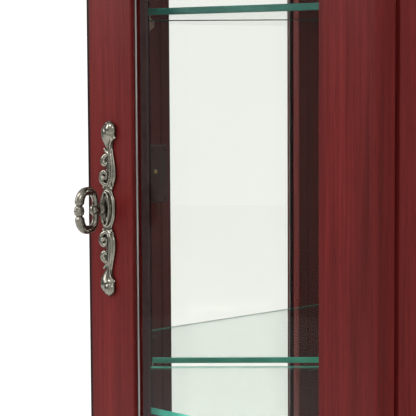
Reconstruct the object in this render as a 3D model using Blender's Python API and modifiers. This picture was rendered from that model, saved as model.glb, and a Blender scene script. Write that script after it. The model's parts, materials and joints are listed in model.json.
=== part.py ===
"""Corner curio cabinet with a glazed door, two glazed short sides, mirrored backs and glass shelves.

Blender 4.5, metres, +Z up. The door faces -Y, +X is to the right seen from the front, and the
square rear corner points to +Y. The origin is at the bottom centre of the overall box. In plan the
case is a pentagon: the front, two short sides at 45 degrees to it, and two walls that meet at 90
degrees. A plan position on either half is given by s, the distance inwards from the outer face of
the short side, and t, the distance inwards from the outer face of the back that stands on the wall.
"""

from math import cos, pi, radians, sin, sqrt

import bmesh
import bpy
from mathutils import Matrix, Vector

# ---- driving dimensions, metres ----

FRONT_WIDTH = 0.270  # of the case front, and of the door that covers it
WALL_LENGTH = 0.356  # of each side of the square rear corner
TIERS = 5
TIER_PITCH = 0.283  # from the top of one shelf to the top of the next
PANEL_THICKNESS = 0.018  # top and bottom panels
BASE_HEIGHT = 0.084
BOTTOM_TOP = 0.100  # upper face of the bottom panel
RAIL_REACH = 0.034  # the side rails stand this far past the panels into the glass opening

SIDE_FRAME = 0.010  # thickness of the short side frames
FRONT_POST_LENGTH = 0.032  # along the short side
WALL_POST_WIDTH = 0.022  # along the wall
WALL_POST_DEPTH = 0.028  # along the short side
REAR_POST_LEG = 0.030
GROOVE_NEAR = 0.0032  # glass groove of the short sides: near face, far face, depth
GROOVE_FAR = 0.0068
GROOVE_DEPTH = 0.006

BACK_BOARD = 0.006
MIRROR_THICKNESS = 0.0032
SIDE_GLASS = 0.003
SHELF_THICKNESS = 0.0048
SHELF_SIDE_GAP = 0.013  # s of the shelf's side edges
SHELF_REAR_GAP = 0.0294  # t of the shelf's rear edges
SHELF_FRONT_SETBACK = 0.0015  # behind the case front

DOOR_THICKNESS = 0.018
DOOR_GAP = 0.003  # between the door and the case front
DOOR_MARGIN = 0.003  # between the door and the mouldings above and below it
DOOR_FLAT = 0.0468  # flat face of a door member
DOOR_MEMBER = 0.048  # whole width of a door member
DOOR_GLASS = 0.004
DOOR_EDGE_ROUND = 0.002
DOOR_GLASS_INSET = 0.040  # from the door's outer edge to the glass edge
DOOR_GLASS_SETBACK = 0.0044  # from the door's face to the glass

MOULDING_REACH = 0.023  # the mouldings' faces stand this far out of the case, flush with the door
BASE_SWELL = 0.004  # the foot of the base stands further out by this
CROWN_SWELL = 0.020
CROWN_HEIGHT = 0.056

LOCK_INSET = 0.023  # key axis from the door's outer edge
LOCK_RISE = 0.0013  # key axis above the middle of the door
LOCK_CASE_HALF_HEIGHT = 0.026
KEY_REACH = 0.0320  # key bow's far end from the door's face
BOLT_TRAVEL = 0.010

HINGE_AXIS_OUT = 0.0037  # hinge axis from the door's hinge edge
HINGE_LENGTH = 0.050
HINGE_FROM_END = 0.130  # hinge middle from each end of the door
KNUCKLE_RADIUS = 0.0032
PIN_RADIUS = 0.0014
LEAF_THICKNESS = 0.0012

GAP = 0.0003  # between faces that touch on the real cabinet
ROOT_HALF = sqrt(0.5)

# ---- positions that follow from them ----

SIDE_LENGTH = WALL_LENGTH - FRONT_WIDTH * ROOT_HALF
CORNER_X = WALL_LENGTH * ROOT_HALF
CASE_DEPTH = (SIDE_LENGTH + WALL_LENGTH) * ROOT_HALF
OVERALL_DEPTH = KEY_REACH + DOOR_THICKNESS + DOOR_GAP + CASE_DEPTH
DOOR_Y = KEY_REACH - OVERALL_DEPTH / 2
CASE_Y = DOOR_Y + DOOR_THICKNESS + DOOR_GAP
CORNER_Y = CASE_Y + SIDE_LENGTH * ROOT_HALF

INTERIOR_TOP = BOTTOM_TOP + TIERS * TIER_PITCH
CASE_TOP = INTERIOR_TOP + PANEL_THICKNESS
DOOR_BOTTOM = BASE_HEIGHT + DOOR_MARGIN
DOOR_TOP = CASE_TOP - (DOOR_BOTTOM - BOTTOM_TOP + PANEL_THICKNESS)
CROWN_BOTTOM = DOOR_TOP + DOOR_MARGIN
LOCK_X = LOCK_INSET - FRONT_WIDTH / 2
LOCK_Z = (BOTTOM_TOP + INTERIOR_TOP) / 2 + LOCK_RISE
HINGE_X = FRONT_WIDTH / 2 + HINGE_AXIS_OUT
HINGE_Y = DOOR_Y + DOOR_THICKNESS + DOOR_GAP / 2
OPENING_BOTTOM = BOTTOM_TOP + RAIL_REACH
OPENING_TOP = INTERIOR_TOP - RAIL_REACH

LEFT, RIGHT = -1, 1
SIDES = ((LEFT, "left"), (RIGHT, "right"))
UP = Vector((0, 0, 1))

# ---- scene, collections and materials ----


def empty_scene():
    for obj in list(bpy.data.objects):
        bpy.data.objects.remove(obj)


def new_collection(name):
    collection = bpy.data.collections.new(name)
    bpy.context.scene.collection.children.link(collection)
    return collection


def new_material(name, colour, roughness, metallic=0.0, transmission=0.0):
    material = bpy.data.materials.new(name)
    material.use_nodes = True
    shader = material.node_tree.nodes["Principled BSDF"]
    shader.inputs["Base Color"].default_value = (*colour, 1)
    shader.inputs["Roughness"].default_value = roughness
    shader.inputs["Metallic"].default_value = metallic
    shader.inputs["Transmission Weight"].default_value = transmission
    return material


empty_scene()
CABINET = new_collection("curio_cabinet")
CUTTERS = new_collection("cutters")

CHERRY = new_material("cherry_wood", (0.19, 0.040, 0.034), 0.35)
BOARD = new_material("back_board", (0.23, 0.13, 0.08), 0.75)
SHELF_GLASS = new_material("shelf_glass", (0.55, 0.85, 0.75), 0.03, 0, 0.9)
CLEAR_GLASS = new_material("clear_glass", (0.92, 0.95, 0.94), 0.02, 0, 0.95)
MIRROR = new_material("mirror", (0.93, 0.94, 0.93), 0.01, 1)
PEWTER = new_material("antique_pewter", (0.36, 0.34, 0.30), 0.32, 1)
BRASS = new_material("hinge_brass", (0.52, 0.38, 0.16), 0.35, 1)
DARK_STEEL = new_material("lock_steel", (0.10, 0.085, 0.075), 0.45, 1)
BRONZE = new_material("clip_bronze", (0.16, 0.10, 0.06), 0.45, 0.8)
VINYL = new_material("glazing_vinyl", (0.55, 0.55, 0.52), 0.3)

# ---- helpers ----


def plan(side, s, t):
    """The plan point s inwards from a short side and t inwards from a wall."""
    return (side * (CORNER_X - (s + t) * ROOT_HALF), CORNER_Y + (s - t) * ROOT_HALF)


def inwards_from_side(side):
    return Vector((-side * ROOT_HALF, ROOT_HALF, 0))


def inwards_from_wall(side):
    return Vector((-side * ROOT_HALF, -ROOT_HALF, 0))


def clean_mesh(mesh):
    """Welds a curve's caps, joins its flat triangles into whole faces and turns its faces out."""
    bm = bmesh.new()
    bm.from_mesh(mesh)
    bmesh.ops.remove_doubles(bm, verts=bm.verts, dist=1e-6)
    bmesh.ops.dissolve_limit(bm, angle_limit=radians(0.5), verts=bm.verts, edges=bm.edges)
    bmesh.ops.recalc_face_normals(bm, faces=bm.faces)
    bm.to_mesh(mesh)
    bm.free()


def evaluated_mesh(obj, name):
    """The mesh that an object's modifiers or curve settings make. The object is removed."""
    bpy.context.view_layer.update()
    graph = bpy.context.evaluated_depsgraph_get()
    mesh = bpy.data.meshes.new_from_object(obj.evaluated_get(graph))
    mesh.name = name
    bpy.data.objects.remove(obj)
    return mesh


def outline_mesh(name, loops, thickness):
    """A flat outline, with any holes as further loops, made thick both ways from its plane."""
    curve = bpy.data.curves.new(name, "CURVE")
    curve.dimensions = "2D"
    curve.fill_mode = "BOTH"
    curve.extrude = thickness / 2
    for loop in loops:
        spline = curve.splines.new("POLY")
        spline.points.add(len(loop) - 1)
        spline.use_cyclic_u = True
        for point, (u, v) in zip(spline.points, loop):
            point.co = (u, v, 0, 1)
    outline = bpy.data.objects.new(name, curve)
    CUTTERS.objects.link(outline)
    mesh = evaluated_mesh(outline, name)
    clean_mesh(mesh)
    return mesh


def matrix_of(origin, x_axis, y_axis):
    """A placement whose X and Y run along the given axes, with Z square to both."""
    x_axis, y_axis = Vector(x_axis), Vector(y_axis)
    turned = Matrix((x_axis, y_axis, x_axis.cross(y_axis))).transposed().to_4x4()
    return Matrix.Translation(Vector(origin)) @ turned


def add_object(name, mesh, material, matrix, bevel=0.0, segments=2):
    obj = bpy.data.objects.new(name, mesh)
    CABINET.objects.link(obj)
    if not mesh.materials:
        mesh.materials.append(material)
    obj.matrix_world = matrix
    if bevel:
        rounding = obj.modifiers.new("rounding", "BEVEL")
        rounding.width = bevel
        rounding.segments = segments
        rounding.limit_method = "ANGLE"
    return obj


def add_upright(name, outline, low, high, material, bevel=0.0):
    """A plan outline made as high as from low to high."""
    mesh = outline_mesh(name, [outline], high - low)
    middle = Matrix.Translation((0, 0, (low + high) / 2))
    return add_object(name, mesh, material, middle, bevel)


def box_mesh(name, low, high):
    """A box in world coordinates, from a primitive cube."""
    bm = bmesh.new()
    size = Vector(high) - Vector(low)
    middle = (Vector(high) + Vector(low)) / 2
    bmesh.ops.create_cube(bm, size=1, matrix=Matrix.Translation(middle) @ Matrix.Diagonal((*size, 1)))
    mesh = bpy.data.meshes.new(name)
    bm.to_mesh(mesh)
    bm.free()
    return mesh


def cylinder_mesh(name, rods, segments=16):
    """Round rods, each given by its two ends and its radius, in one mesh."""
    bm = bmesh.new()
    for start, end, radius in rods:
        start, end = Vector(start), Vector(end)
        turn = (end - start).to_track_quat("Z", "Y").to_matrix().to_4x4()
        place = Matrix.Translation((start + end) / 2) @ turn
        length = (end - start).length
        bmesh.ops.create_cone(
            bm,
            cap_ends=True,
            segments=segments,
            radius1=radius,
            radius2=radius,
            depth=length,
            matrix=place,
        )
    mesh = bpy.data.meshes.new(name)
    bm.to_mesh(mesh)
    bm.free()
    return mesh


def add_cutter(name, mesh):
    cutter = bpy.data.objects.new(name, mesh)
    CUTTERS.objects.link(cutter)
    cutter.hide_render = True
    cutter.display_type = "WIRE"
    return cutter


def boolean(obj, cutter, operation="DIFFERENCE"):
    cut = obj.modifiers.new(cutter.name, "BOOLEAN")
    cut.operation = operation
    cut.object = cutter
    cut.solver = "EXACT"


def arc(centre, radius, start, end, steps):
    """Points along a circular arc, from one angle in degrees to another."""
    angles = [radians(start + (end - start) * i / steps) for i in range(steps + 1)]
    return [(centre[0] + radius * cos(a), centre[1] + radius * sin(a)) for a in angles]


def mitre(obj, point, normal):
    """Cuts an object's end off where it stands past a plane, and closes the cut."""
    to_local = obj.matrix_world.inverted()
    bm = bmesh.new()
    bm.from_mesh(obj.data)
    bmesh.ops.bisect_plane(
        bm,
        geom=bm.verts[:] + bm.edges[:] + bm.faces[:],
        plane_co=to_local @ Vector(point),
        plane_no=to_local.to_3x3() @ Vector(normal),
        clear_outer=True,
    )
    bmesh.ops.holes_fill(bm, edges=[edge for edge in bm.edges if edge.is_boundary])
    bmesh.ops.recalc_face_normals(bm, faces=bm.faces)
    bm.to_mesh(obj.data)
    bm.free()


def smooth(mesh, angle=35):
    mesh.shade_smooth()
    mesh.set_sharp_from_angle(angle=radians(angle))


# ---- the case ----


def shelf_pin_heights():
    """Height of each shelf's underside."""
    return [BOTTOM_TOP + TIER_PITCH * i - SHELF_THICKNESS for i in range(1, TIERS)]


def add_posts():
    """Posts of the short sides, grooved for the side glass and bored for the shelf clips."""
    near, far, deep = GROOVE_NEAR, GROOVE_FAR, GROOVE_DEPTH
    start = SIDE_LENGTH - FRONT_POST_LENGTH
    front = [(0, start), (near, start), (near, start + deep), (far, start + deep), (far, start)]
    front += [(SIDE_FRAME, start), (SIDE_FRAME, SIDE_LENGTH + SIDE_FRAME), (0, SIDE_LENGTH)]
    end = WALL_POST_DEPTH
    wall = [(0, 0), (WALL_POST_WIDTH, 0), (WALL_POST_WIDTH, end), (far, end)]
    wall += [(far, end - deep), (near, end - deep), (near, end), (0, end)]
    posts = {}
    for side, word in SIDES:
        for kind, outline in (("front", front), ("wall", wall)):
            points = [plan(side, s, t) for s, t in outline]
            name = f"{word}_{kind}_post"
            posts[name] = add_upright(name, points, 0, CASE_TOP, CHERRY, 0.0004)
    return posts


def add_rear_post():
    """An angle strip that joins the two back boards in the rear corner."""
    leg = WALL_LENGTH - REAR_POST_LEG
    outline = [plan(LEFT, leg, 0), plan(LEFT, WALL_LENGTH, 0), plan(RIGHT, leg, 0)]
    outline += [plan(RIGHT, leg, BACK_BOARD)]
    outline += [plan(LEFT, WALL_LENGTH - BACK_BOARD, BACK_BOARD), plan(LEFT, leg, BACK_BOARD)]
    add_upright("rear_post", outline, 0, CASE_TOP, CHERRY)


def panel_outline():
    """The pentagon of a horizontal panel, notched round the posts."""
    rear = BACK_BOARD + GAP
    notch_s = WALL_POST_WIDTH + GAP
    notch_t = WALL_POST_DEPTH + GAP
    side_s = SIDE_FRAME + GAP
    half = [(side_s, SIDE_LENGTH + side_s), (side_s, notch_t), (notch_s, notch_t), (notch_s, rear)]
    left = [plan(LEFT, s, t) for s, t in half]
    right = [plan(RIGHT, s, t) for s, t in reversed(half)]
    return left + [plan(LEFT, WALL_LENGTH - rear, rear)] + right


def add_panels():
    outline = panel_outline()
    low = BOTTOM_TOP - PANEL_THICKNESS
    add_upright("bottom_panel", outline, low, BOTTOM_TOP, CHERRY, 0.0006)
    add_upright("top_panel", outline, INTERIOR_TOP, CASE_TOP, CHERRY, 0.0006)


def add_side_rails():
    """Rails between the posts of each short side, grooved along the edge that holds the glass."""
    start = WALL_POST_DEPTH + GAP
    end = SIDE_LENGTH - FRONT_POST_LENGTH - GAP
    rails = (("bottom", BASE_HEIGHT / 2, OPENING_BOTTOM), ("top", CASE_TOP, OPENING_TOP))
    for level, outer, inner in rails:
        floor = inner - GROOVE_DEPTH * (1 if inner > outer else -1)
        section = [(0, outer), (SIDE_FRAME, outer), (SIDE_FRAME, inner), (GROOVE_FAR, inner)]
        section += [(GROOVE_FAR, floor), (GROOVE_NEAR, floor), (GROOVE_NEAR, inner), (0, inner)]
        for side, word in SIDES:
            mesh = outline_mesh(f"{word}_side_{level}_rail", [section], end - start)
            origin = (*plan(side, 0, (start + end) / 2), 0)
            matrix = matrix_of(origin, inwards_from_side(side), UP)
            add_object(mesh.name, mesh, CHERRY, matrix, 0.0006)


def add_side_glass():
    near = (GROOVE_NEAR + GROOVE_FAR - SIDE_GLASS) / 2
    start = WALL_POST_DEPTH - GROOVE_DEPTH + 0.001
    end = SIDE_LENGTH - FRONT_POST_LENGTH + GROOVE_DEPTH - 0.001
    low = OPENING_BOTTOM - GROOVE_DEPTH + 0.0005
    high = OPENING_TOP + GROOVE_DEPTH - 0.0005
    for side, word in SIDES:
        corners = ((near, start), (near + SIDE_GLASS, start), (near + SIDE_GLASS, end), (near, end))
        outline = [plan(side, s, t) for s, t in corners]
        add_upright(f"{word}_side_glass", outline, low, high, CLEAR_GLASS)


def add_backs():
    """Back boards on the walls, and the mirrors that stand in front of them."""
    board_start = WALL_POST_WIDTH + GAP
    board_end = WALL_LENGTH - REAR_POST_LEG - GAP
    near = BACK_BOARD + GAP
    far = near + MIRROR_THICKNESS
    mirror_ends = {LEFT: WALL_LENGTH - near - GAP, RIGHT: WALL_LENGTH - far - GAP}
    for side, word in SIDES:
        corners = ((board_start, 0), (board_end, 0), (board_end, BACK_BOARD), (board_start, BACK_BOARD))
        outline = [plan(side, s, t) for s, t in corners]
        add_upright(f"{word}_back_board", outline, BASE_HEIGHT / 4, CASE_TOP, BOARD)
        end = mirror_ends[side]
        corners = ((board_start, near), (end, near), (end, far), (board_start, far))
        outline = [plan(side, s, t) for s, t in corners]
        add_upright(f"{word}_mirror", outline, BOTTOM_TOP + GAP, INTERIOR_TOP - GAP, MIRROR)


# ---- the mouldings round the foot and the head ----


def base_section():
    """Reach and height of the base: a plain face under a cove and a small upper fillet."""
    face = MOULDING_REACH + BASE_SWELL
    cove_top = BASE_HEIGHT - 0.006
    cove = arc((face + 0.0002, cove_top), BASE_SWELL + 0.0002, 270, 180, 4)
    section = [(GAP, 0), (face - 0.0015, 0), (face, 0.0015), (face, cove[0][1] - 0.002)]
    return section + cove + [(MOULDING_REACH, BASE_HEIGHT), (GAP, BASE_HEIGHT)]


def crown_section():
    """Reach and height of the crown: a fillet, a deep cove, a small round and a flat lip."""
    top = CROWN_BOTTOM + CROWN_HEIGHT
    cove_bottom = CROWN_BOTTOM + 0.009
    reach = MOULDING_REACH + CROWN_SWELL
    bead = 0.004
    cove = CROWN_SWELL - 0.003 - bead
    bead_height = cove_bottom + cove + bead + 0.0005
    section = [(GAP, CROWN_BOTTOM), (MOULDING_REACH, CROWN_BOTTOM)]
    section += arc((MOULDING_REACH, CROWN_BOTTOM + 0.003), 0.003, -90, 90, 5)[1:]
    section += arc((reach - bead, cove_bottom), cove, 180, 90, 6)
    section += arc((reach - bead, bead_height), bead, -80, 80, 5)
    section += [(reach, bead_height + bead + 0.002), (reach, top - 0.001)]
    section += [(reach - 0.001, top), (GAP, top)]
    return section


def front_corner(side):
    return (side * FRONT_WIDTH / 2, CASE_Y, 0)


def add_moulding(prefix, section):
    """A front length and two side lengths of one section, mitred at the front corners."""
    long = 2 * WALL_LENGTH
    front_mesh = outline_mesh(f"{prefix}_front", [section], long)
    matrix = matrix_of((0, CASE_Y, 0), (0, -1, 0), UP)
    front = add_object(f"{prefix}_front", front_mesh, CHERRY, matrix)
    for side, word in SIDES:
        bisector = Vector((side * (1 + ROOT_HALF), ROOT_HALF, 0)).normalized()
        corner = Vector(front_corner(side))
        mitre(front, corner - bisector * GAP / 4, bisector)
        outwards = -inwards_from_side(side)
        mesh = outline_mesh(f"{prefix}_{word}", [section], long)
        origin = (*plan(side, 0, SIDE_LENGTH / 2), 0)
        length = add_object(mesh.name, mesh, CHERRY, matrix_of(origin, outwards, UP))
        mitre(length, corner + bisector * GAP / 4, -bisector)
        mitre(length, (*plan(side, 0, 0), 0), -inwards_from_wall(side))
    return front


def add_base():
    """The base, with a shallow arch cut out of the foot of its front length."""
    front = add_moulding("base", base_section())
    half, rise, curve = FRONT_WIDTH / 2 - 0.030, 0.022, 0.018
    arch = [(-half, -0.01)] + arc((-half + curve, rise - curve), curve, 180, 90, 4)
    arch += arc((half - curve, rise - curve), curve, 90, 0, 4) + [(half, -0.01)]
    mesh = outline_mesh("base_arch", [arch], 4 * MOULDING_REACH)
    cutter = add_cutter("base_arch", mesh)
    cutter.matrix_world = matrix_of((0, CASE_Y, 0), (1, 0, 0), UP)
    boolean(front, cutter)


# ---- shelves and their clips ----


def add_shelves():
    s, t = SHELF_SIDE_GAP, SHELF_REAR_GAP
    front_t = SIDE_LENGTH + s - SHELF_FRONT_SETBACK / ROOT_HALF
    rear = plan(LEFT, WALL_LENGTH - t, t)
    outline = [plan(LEFT, s, front_t), plan(LEFT, s, t), rear]
    outline += [plan(RIGHT, s, t), plan(RIGHT, s, front_t)]
    for number, underside in enumerate(shelf_pin_heights(), 1):
        top = underside + SHELF_THICKNESS
        add_upright(f"shelf_{number}", outline, underside, top, SHELF_GLASS, 0.0006)


CLIP_WIDTH = 0.012
CLIP_REACH = 0.0095
CLIP_HEIGHT = 0.009
PEG_RADIUS = 0.0024
PEG_LENGTH = 0.0070
PEG_DROP = 0.0055  # peg axis below the shelf


def clip_mesh():
    """A shelf clip: a wedge under the shelf with a peg behind it. X points out of the post."""
    lip = 0.0018
    wedge = [(GAP / 2, -GAP), (CLIP_REACH, -GAP), (CLIP_REACH, -GAP - lip)]
    wedge += [(GAP / 2 + lip, -CLIP_HEIGHT), (GAP / 2, -CLIP_HEIGHT)]
    matrix = matrix_of((0, 0, 0), (1, 0, 0), UP)
    body = add_object("clip", outline_mesh("clip", [wedge], CLIP_WIDTH), BRONZE, matrix)
    peg = cylinder_mesh("peg", [((-PEG_LENGTH, 0, -PEG_DROP), (0.002, 0, -PEG_DROP), PEG_RADIUS)], 12)
    peg_guide = add_cutter("peg", peg)
    boolean(body, peg_guide, "UNION")
    mesh = evaluated_mesh(body, "shelf_clip")
    mesh.transform(matrix)
    bpy.data.objects.remove(peg_guide)
    return mesh


def add_clips(posts):
    """Four clips for each shelf, pegged into bores of the posts."""
    mesh = clip_mesh()
    spots = (
        ("front", SIDE_FRAME, SIDE_LENGTH - 0.014, inwards_from_side),
        ("wall", 0.016, WALL_POST_DEPTH, inwards_from_wall),
    )
    for side, word in SIDES:
        for kind, s, t, inwards_of in spots:
            face = Vector((*plan(side, s, t), 0))
            inwards = inwards_of(side)
            bores = []
            for number, underside in enumerate(shelf_pin_heights(), 1):
                place = face + UP * underside
                matrix = matrix_of(place, inwards, UP.cross(inwards))
                add_object(f"clip_{number}_{word}_{kind}", mesh, BRONZE, matrix)
                middle = place - UP * PEG_DROP
                bottom = middle - inwards * (PEG_LENGTH + GAP)
                bores.append((bottom, middle + inwards * 0.002, PEG_RADIUS + GAP))
            cutter = add_cutter(f"{word}_{kind}_bores", cylinder_mesh("bores", bores, 12))
            boolean(posts[f"{word}_{kind}_post"], cutter)


# ---- the door ----

GLASS_NEAR = DOOR_Y + DOOR_GLASS_SETBACK
CHANNEL_WALL = 0.0008
CHANNEL_LIP = 0.0014  # the vinyl channel shows past the wood by this


def door_section():
    """Width inwards from the edge and depth from the face of a door member.

    The face ends in a small round, the glass groove is in the inner edge, and a small V marks off
    the glass stop on the back.
    """
    groove_near = GLASS_NEAR - DOOR_Y - CHANNEL_WALL - 0.0002
    groove_far = groove_near + DOOR_GLASS + 2 * CHANNEL_WALL + 0.0008
    floor = DOOR_GLASS_INSET - CHANNEL_WALL - 0.0012
    round_radius = DOOR_MEMBER - DOOR_FLAT
    stop = DOOR_MEMBER - 0.012
    section = arc((DOOR_EDGE_ROUND, DOOR_EDGE_ROUND), DOOR_EDGE_ROUND, 180, 270, 4)
    section += arc((DOOR_FLAT, round_radius), round_radius, -90, 0, 3)
    section += [(DOOR_MEMBER, groove_near), (floor, groove_near), (floor, groove_far)]
    section += [(DOOR_MEMBER, groove_far), (DOOR_MEMBER, DOOR_THICKNESS - 0.001)]
    section += [(DOOR_MEMBER - 0.001, DOOR_THICKNESS), (stop + 0.001, DOOR_THICKNESS)]
    section += [(stop, DOOR_THICKNESS - 0.001), (stop - 0.001, DOOR_THICKNESS)]
    return section + [(0.0012, DOOR_THICKNESS), (0, DOOR_THICKNESS - 0.0012)]


def add_door_frame():
    """Four mitred members of one section."""
    half = FRONT_WIDTH / 2
    side, up = Vector((1, 0, 0)), UP
    corners = {(x, z): Vector((x * half, DOOR_Y, DOOR_TOP if z > 0 else DOOR_BOTTOM))
               for x in (-1, 1) for z in (-1, 1)}
    members = (
        ("door_lock_stile", side, up, (corners[-1, -1], corners[-1, 1])),
        ("door_hinge_stile", -side, up, (corners[1, -1], corners[1, 1])),
        ("door_bottom_rail", up, side, (corners[-1, -1], corners[1, -1])),
        ("door_top_rail", -up, side, (corners[-1, 1], corners[1, 1])),
    )
    made = {}
    for name, inwards, along, ends in members:
        mesh = outline_mesh(name, [door_section()], 2 * DOOR_TOP)
        middle = (ends[0] + ends[1]) / 2
        member = add_object(name, mesh, CHERRY, matrix_of(middle, inwards, (0, 1, 0)))
        for corner, outwards in zip(ends, (-along, along)):
            normal = (outwards + inwards).normalized()
            mitre(member, corner - normal * GAP / 4, normal)
        made[name] = member
    return made


def add_door_glass():
    half = FRONT_WIDTH / 2 - DOOR_GLASS_INSET
    low = DOOR_BOTTOM + DOOR_GLASS_INSET
    high = DOOR_TOP - DOOR_GLASS_INSET
    mesh = box_mesh("door_glass", (-half, GLASS_NEAR, low), (half, GLASS_NEAR + DOOR_GLASS, high))
    add_object("door_glass", mesh, CLEAR_GLASS, Matrix())
    rim, lip = CHANNEL_WALL + 0.0006, DOOR_MEMBER - DOOR_GLASS_INSET + CHANNEL_LIP
    outer = [(-half - rim, low - rim), (half + rim, low - rim), (half + rim, high + rim)]
    outer += [(-half - rim, high + rim)]
    inner = [(-half + lip, low + lip), (half - lip, low + lip), (half - lip, high - lip)]
    inner += [(-half + lip, high - lip)]
    slot = DOOR_GLASS + 0.0002
    mesh = outline_mesh("glazing_channel", [outer, inner], slot + 2 * CHANNEL_WALL)
    middle = (0, GLASS_NEAR + DOOR_GLASS / 2, 0)
    channel = add_object("glazing_channel", mesh, VINYL, matrix_of(middle, (1, 0, 0), UP))
    room = Vector((GAP, 0.0001, GAP))
    near = Vector((-half, GLASS_NEAR, low)) - room
    far = Vector((half, GLASS_NEAR + DOOR_GLASS, high)) + room
    boolean(channel, add_cutter("glass_slot", box_mesh("glass_slot", near, far)))


# ---- lock, key and escutcheon ----

ESCUTCHEON_HALF = 0.062
ESCUTCHEON_PLATE = 0.0022
BOSS_HALF = (0.0082, 0.0036, 0.0133)
SHANK_RADIUS = 0.0023
KEY_HOLE_RADIUS = 0.0028
KEY_SLOT = 0.0014  # half width of the keyhole's slot
BIT_LENGTH = 0.0054


def escutcheon_outline():
    """The plate's outline in millimetres from its centre: the same above and below the keyhole."""
    right = [(8.2, 0), (7.2, 6.8), (4.8, 12.2), (6.4, 14.2), (8.2, 18.0), (8.9, 23.5), (8.3, 30)]
    right += [(7.0, 36), (5.8, 42), (5.8, 46.5), (8.4, 49.6), (6.6, 51.8), (8.4, 54.4), (8.4, 57.4)]
    left = [(5.6, 60.9), (2.2, 62), (-1.8, 60.8), (-4.4, 57.0), (-4.6, 52), (-2.8, 47), (-1.0, 43.6)]
    left += [(-3.6, 42.2), (-2.4, 39.6), (-5.6, 37.4), (-6.6, 33.6), (-4.6, 30.4), (-2.6, 28.8)]
    left += [(-6.4, 26.2), (-7.6, 20.8), (-5.6, 16.0), (-3.0, 14.0), (-4.4, 12.2), (-7.2, 6.8)]
    upper = right + left
    lower = [(x, -z) for x, z in reversed(upper[1:])]
    return [(x / 1000, z / 1000) for x, z in upper + [(-8.2, 0)] + lower]


def add_escutcheon():
    """The cast plate on the lock stile, with an oval boss round the keyhole."""
    mesh = outline_mesh("escutcheon", [escutcheon_outline()], ESCUTCHEON_PLATE)
    face = DOOR_Y - 0.0002
    centre = (LOCK_X, face - ESCUTCHEON_PLATE / 2, LOCK_Z)
    plate = add_object("escutcheon", mesh, PEWTER, matrix_of(centre, (1, 0, 0), UP), 0.0005, 1)
    bm = bmesh.new()
    scale = Matrix.Diagonal((*BOSS_HALF, 1))
    bmesh.ops.create_uvsphere(bm, u_segments=24, v_segments=12, radius=1, matrix=scale)
    bmesh.ops.bisect_plane(
        bm,
        geom=bm.verts[:] + bm.edges[:] + bm.faces[:],
        plane_co=(0, 0.00001, 0),
        plane_no=(0, 1, 0),
        clear_outer=True,
    )
    bmesh.ops.holes_fill(bm, edges=[edge for edge in bm.edges if edge.is_boundary])
    boss_mesh = bpy.data.meshes.new("boss")
    bm.to_mesh(boss_mesh)
    bm.free()
    boss = add_cutter("boss", boss_mesh)
    boss.location = (LOCK_X, face - 0.0004, LOCK_Z)
    boolean(plate, boss, "UNION")
    return plate


def add_keyhole(objects):
    """A round hole with a slot under it for the key's bit, through the plate and the stile."""
    start = (LOCK_X, DOOR_Y - 0.010, LOCK_Z)
    end = (LOCK_X, DOOR_Y + DOOR_THICKNESS + 0.005, LOCK_Z)
    hole = add_cutter("keyhole", cylinder_mesh("keyhole", [(start, end, KEY_HOLE_RADIUS)], 20))
    low = (LOCK_X - KEY_SLOT, start[1], LOCK_Z - BIT_LENGTH - 2 * GAP)
    high = (LOCK_X + KEY_SLOT, end[1], LOCK_Z)
    slot = add_cutter("keyhole_slot", box_mesh("keyhole_slot", low, high))
    for obj in objects:
        boolean(obj, hole)
        boolean(obj, slot)


LOCK_CASE_LEFT = LOCK_X - 0.0076
LOCK_CASE_RIGHT = LOCK_X + 0.013
LOCK_CASE_DEPTH = 0.00845
LOCK_WALL = 0.0012
BOLT_NEAR = DOOR_Y + 0.0224  # near face of the bolt
BOLT_THICKNESS = 0.0026
BOLT_HALF_HEIGHT = 0.005


def bolt_passage(name, left, right):
    """The space the bolt passes through, with its clearance."""
    low = (left, BOLT_NEAR - GAP, LOCK_Z - BOLT_HALF_HEIGHT - GAP)
    high = (right, BOLT_NEAR + BOLT_THICKNESS + GAP, LOCK_Z + BOLT_HALF_HEIGHT + GAP)
    return add_cutter(name, box_mesh(name, low, high))


def add_lock(front_post):
    """The lock case on the back of the stile, its sliding bolt, and the strike on the front post."""
    near = DOOR_Y + DOOR_THICKNESS + 0.00015
    far = near + LOCK_CASE_DEPTH
    low, high = LOCK_Z - LOCK_CASE_HALF_HEIGHT, LOCK_Z + LOCK_CASE_HALF_HEIGHT
    mesh = box_mesh("lock_case", (LOCK_CASE_LEFT, near, low), (LOCK_CASE_RIGHT, far, high))
    case = add_object("lock_case", mesh, DARK_STEEL, Matrix(), 0.0008)
    room = Vector((LOCK_WALL, 0, LOCK_WALL))
    inner_low = Vector((LOCK_CASE_LEFT, near - 0.001, low)) + room
    inner_high = Vector((LOCK_CASE_RIGHT, far - LOCK_WALL, high)) - room
    boolean(case, add_cutter("lock_cavity", box_mesh("lock_cavity", inner_low, inner_high)))
    boolean(case, bolt_passage("bolt_mouth", LOCK_CASE_LEFT - 0.002, LOCK_X))

    bolt_left = LOCK_CASE_LEFT - 0.0003
    bolt_right = LOCK_X + 0.010
    bolt_low = (bolt_left, BOLT_NEAR, LOCK_Z - BOLT_HALF_HEIGHT)
    bolt_high = (bolt_right, BOLT_NEAR + BOLT_THICKNESS, LOCK_Z + BOLT_HALF_HEIGHT)
    add_object("lock_bolt", box_mesh("lock_bolt", bolt_low, bolt_high), BRASS, Matrix(), 0.0005)

    pocket = bolt_passage("bolt_pocket", bolt_left - BOLT_TRAVEL - 0.0012, LOCK_X)
    boolean(front_post, pocket)
    corners = ((SIDE_FRAME + GAP / 2, -0.010), (SIDE_FRAME + 0.00135, -0.010))
    corners += ((SIDE_FRAME + 0.00135, 0.0085), (SIDE_FRAME + GAP / 2, 0.0085))
    outline = [plan(LEFT, s, SIDE_LENGTH + t) for s, t in corners]
    strike = add_upright("strike_plate", outline, LOCK_Z - 0.020, LOCK_Z + 0.020, BRASS)
    boolean(strike, pocket)


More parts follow.
